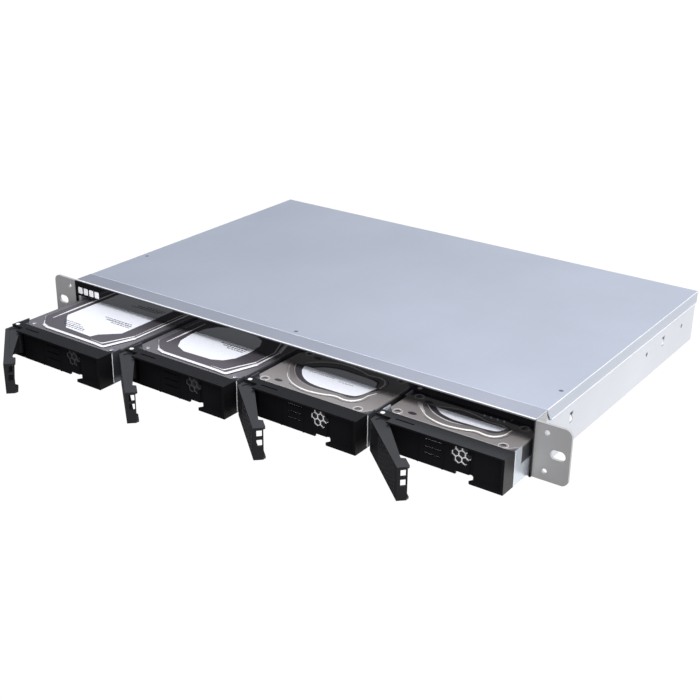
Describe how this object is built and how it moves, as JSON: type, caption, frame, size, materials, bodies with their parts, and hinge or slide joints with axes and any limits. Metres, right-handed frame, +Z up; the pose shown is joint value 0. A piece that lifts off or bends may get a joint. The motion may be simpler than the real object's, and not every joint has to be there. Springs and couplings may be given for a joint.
{
  "type": "network attached storage",
  "caption": "Shallow rack-mount network storage chassis with sliding front drive trays, swing-out pull levers, rear fans, mains inlet and network ports.",
  "frame": {"origin": "midpoint of the two rack-ear slots, on the front face of the ears", "axes": "+X right seen from the front, +Y towards the rear, +Z up"},
  "size_m": [0.4826, 0.4197, 0.0434],
  "materials": {
    "chassis_steel": "satin light silver",
    "cover_steel": "satin light silver",
    "ear_steel": "brushed grey",
    "gloss_black": "polished black",
    "tray_plastic": "fine satin grain",
    "lever_plastic": "fine satin grain",
    "screen_steel": "bright",
    "carrier_steel": "satin",
    "drive_casting": "cast satin",
    "drive_lid_steel": "satin stamped",
    "pin_steel": "polished",
    "board_green": "solder mask",
    "socket_black": "moulded",
    "fin_aluminium": "extruded",
    "port_steel": "tin plated",
    "fan_plastic": "moulded",
    "chip_black": "epoxy",
    "pipe_clear": "clear polished",
    "button_black": "polished black",
    "screw_steel": "zinc plated",
    "wire_jacket": "matt sleeve"
  },
  "bodies": {
    "chassis": {"chassis_pan": "chassis_steel", "right_rack_ear": "ear_steel", "left_rack_ear": "ear_steel", "front_crossmember": "cover_steel", "front_strip": "gloss_black", "light_pipes": "pipe_clear", "indicator_board": "board_green", "top_cover": "cover_steel", "cover_screws": "screw_steel", "rear_panel": "chassis_steel", "bay_dividers": "chassis_steel", "backplane_board": "board_green", "drive_sockets": "socket_black", "mainboard": "board_green", "board_standoffs": "screw_steel", "heatsink": "fin_aluminium", "processor": "chip_black", "memory_socket": "socket_black", "memory_module": "board_green", "network_jacks": "port_steel", "usb_ports": "port_steel", "sfp_cages": "port_steel", "expansion_blank": "port_steel", "psu_case": "carrier_steel", "psu_board": "board_green", "ac_inlet": "socket_black", "fan_frames": "fan_plastic", "power_harness": "wire_jacket"},
    "tray1": {"tray1_bezel": "tray_plastic", "tray1_emi_screen": "screen_steel", "tray1_carrier": "carrier_steel", "tray1_drive_body": "drive_casting", "tray1_drive_lid": "drive_lid_steel", "tray1_hinge_pin": "pin_steel"},
    "lever1": {"tray1_lever": "lever_plastic"},
    "tray2": {"tray2_bezel": "tray_plastic", "tray2_emi_screen": "screen_steel", "tray2_carrier": "carrier_steel", "tray2_drive_body": "drive_casting", "tray2_drive_lid": "drive_lid_steel", "tray2_hinge_pin": "pin_steel"},
    "lever2": {"tray2_lever": "lever_plastic"},
    "tray3": {"tray3_bezel": "tray_plastic", "tray3_emi_screen": "screen_steel", "tray3_carrier": "carrier_steel", "tray3_drive_body": "drive_casting", "tray3_drive_lid": "drive_lid_steel", "tray3_hinge_pin": "pin_steel"},
    "lever3": {"tray3_lever": "lever_plastic"},
    "tray4": {"tray4_bezel": "tray_plastic", "tray4_emi_screen": "screen_steel", "tray4_carrier": "carrier_steel", "tray4_drive_body": "drive_casting", "tray4_drive_lid": "drive_lid_steel", "tray4_hinge_pin": "pin_steel"},
    "lever4": {"tray4_lever": "lever_plastic"},
    "power_button": {"power_button": "button_black"},
    "reset_button": {"reset_button": "button_black"},
    "fan1": {"fan1_rotor": "fan_plastic"},
    "fan2": {"fan2_rotor": "fan_plastic"}
  },
  "joints": [
    {"name": "tray1_slide", "type": "slide", "parent": "chassis", "child": "tray1", "axis": [0, -1, 0], "range_m": [-0.0795, 0.0855]},
    {"name": "tray1_lever_hinge", "type": "hinge", "parent": "tray1", "child": "lever1", "pos_m": [-0.2089, -0.0697, 0], "axis": [0, 0, -1], "range_deg": [-41.5, 6]},
    {"name": "tray2_slide", "type": "slide", "parent": "chassis", "child": "tray2", "axis": [0, -1, 0], "range_m": [-0.0605, 0.1045]},
    {"name": "tray2_lever_hinge", "type": "hinge", "parent": "tray2", "child": "lever2", "pos_m": [-0.1019, -0.0507, 0], "axis": [0, 0, -1], "range_deg": [-41.5, 6]},
    {"name": "tray3_slide", "type": "slide", "parent": "chassis", "child": "tray3", "axis": [0, -1, 0], "range_m": [-0.0485, 0.1165]},
    {"name": "tray3_lever_hinge", "type": "hinge", "parent": "tray3", "child": "lever3", "pos_m": [0.0051, -0.0387, 0], "axis": [0, 0, -1], "range_deg": [-41.5, 6]},
    {"name": "tray4_slide", "type": "slide", "parent": "chassis", "child": "tray4", "axis": [0, -1, 0], "range_m": [-0.0355, 0.1295]},
    {"name": "tray4_lever_hinge", "type": "hinge", "parent": "tray4", "child": "lever4", "pos_m": [0.1121, -0.0257, 0], "axis": [0, 0, -1], "range_deg": [-41.5, 6]},
    {"name": "power_button_press", "type": "slide", "parent": "chassis", "child": "power_button", "axis": [0, 1, 0], "range_m": [0, 0.001], "stiffness_N_per_m": 500},
    {"name": "reset_button_press", "type": "slide", "parent": "chassis", "child": "reset_button", "axis": [0, -1, 0], "range_m": [0, 0.0008], "stiffness_N_per_m": 500},
    {"name": "fan1_spin", "type": "hinge", "parent": "chassis", "child": "fan1", "pos_m": [0.112, 0.28, -0.00005], "axis": [0, 1, 0], "continuous": true},
    {"name": "fan2_spin", "type": "hinge", "parent": "chassis", "child": "fan2", "pos_m": [0.068, 0.28, -0.00005], "axis": [0, 1, 0], "continuous": true}
  ]
}
